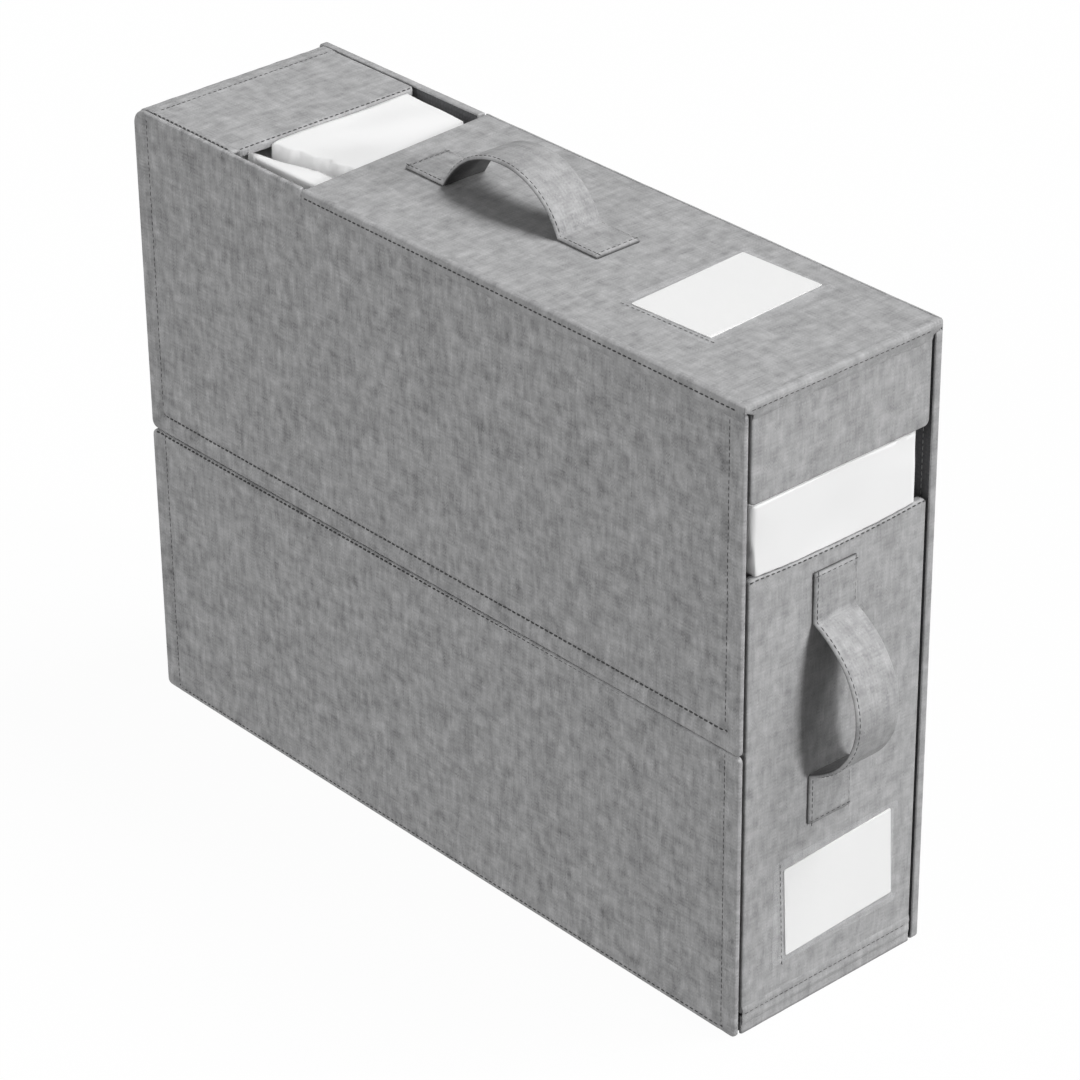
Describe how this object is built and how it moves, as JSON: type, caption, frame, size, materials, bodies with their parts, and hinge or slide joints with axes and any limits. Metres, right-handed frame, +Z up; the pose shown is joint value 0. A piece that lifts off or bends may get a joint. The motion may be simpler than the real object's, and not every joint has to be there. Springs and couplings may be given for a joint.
{
  "type": "bed sheet organizer",
  "caption": "Tall narrow fold-out storage box of fabric-covered boards for folded bed linen, with hinged lid, split front, end flap, window gaps, strap handles and label pockets.",
  "frame": {"origin": "middle of the underside, on the surface the organizer stands on", "axes": "+X along the length towards the end with the strap handle and label, +Y from the split front to the back, +Z up"},
  "size_m": [0.4256, 0.114, 0.33],
  "materials": {
    "linen_fabric": "heathered grey linen look weave",
    "webbing_fabric": "folded strap of the same grey weave",
    "lining_fabric": "plain dark grey non-woven lining",
    "stiffener": "raw greyboard",
    "hook_and_loop": "dark grey hook and loop tape",
    "label_card": "plain white card",
    "clear_film": "clear soft film"
  },
  "bodies": {
    "root": {"base_cover": "linen_fabric", "base_board": "stiffener", "base_lining": "lining_fabric", "base_rim_right": "linen_fabric", "base_rim_left": "linen_fabric", "back_cover": "linen_fabric", "back_board": "stiffener", "back_lining": "lining_fabric", "front_lower_cover": "linen_fabric", "front_lower_board": "stiffener", "front_lower_lining": "lining_fabric", "closure_tongue": "linen_fabric", "closure_loop_tape": "hook_and_loop", "end_flap_ear": "linen_fabric", "end_flap_ear_loop_pad": "hook_and_loop", "left_wall_ear": "linen_fabric", "left_wall_ear_loop_pad": "hook_and_loop"},
    "lid": {"lid_cover": "linen_fabric", "lid_board": "stiffener", "lid_lining": "lining_fabric", "top_handle": "webbing_fabric", "top_label_card": "label_card", "top_label_pocket": "clear_film"},
    "front_flap": {"front_upper_cover": "linen_fabric", "front_upper_board": "stiffener", "front_upper_lining": "lining_fabric", "closure_hook_tape": "hook_and_loop"},
    "end_tuck": {"end_tuck_cover": "linen_fabric", "end_tuck_board": "stiffener", "end_tuck_lining": "lining_fabric"},
    "end_flap": {"end_flap_cover": "linen_fabric", "end_flap_board": "stiffener", "end_flap_lining": "lining_fabric", "end_flap_hook_pad": "hook_and_loop", "end_handle": "webbing_fabric", "end_label_card": "label_card", "end_label_pocket": "clear_film"},
    "left_wall": {"left_wall_cover": "linen_fabric", "left_wall_board": "stiffener", "left_wall_lining": "lining_fabric", "left_wall_hook_pad": "hook_and_loop", "left_fold": "linen_fabric"},
    "left_tuck": {"left_tuck_cover": "linen_fabric", "left_tuck_board": "stiffener", "left_tuck_lining": "lining_fabric"}
  },
  "joints": [
    {"name": "lid_hinge", "type": "hinge", "parent": "root", "child": "lid", "pos_m": [0, 0.057, 0.304], "axis": [-1, 0, 0], "range_deg": [0, 180]},
    {"name": "front_flap_hinge", "type": "hinge", "parent": "lid", "child": "front_flap", "pos_m": [0, -0.057, 0.308], "axis": [-1, 0, 0], "range_deg": [0, 180]},
    {"name": "end_tuck_hinge", "type": "hinge", "parent": "lid", "child": "end_tuck", "pos_m": [0.199, 0, 0.3037], "axis": [0, -1, 0], "range_deg": [0, 90]},
    {"name": "end_flap_hinge", "type": "hinge", "parent": "root", "child": "end_flap", "pos_m": [0.199, 0, 0.00923], "axis": [0, 1, 0], "range_deg": [0, 80]},
    {"name": "left_wall_hinge", "type": "hinge", "parent": "root", "child": "left_wall", "pos_m": [-0.199, 0, 0.00923], "axis": [0, -1, 0], "range_deg": [0, 90]},
    {"name": "left_tuck_hinge", "type": "hinge", "parent": "left_wall", "child": "left_tuck", "pos_m": [-0.189, 0, 0.308], "axis": [0, -1, 0], "range_deg": [0, 90]}
  ]
}
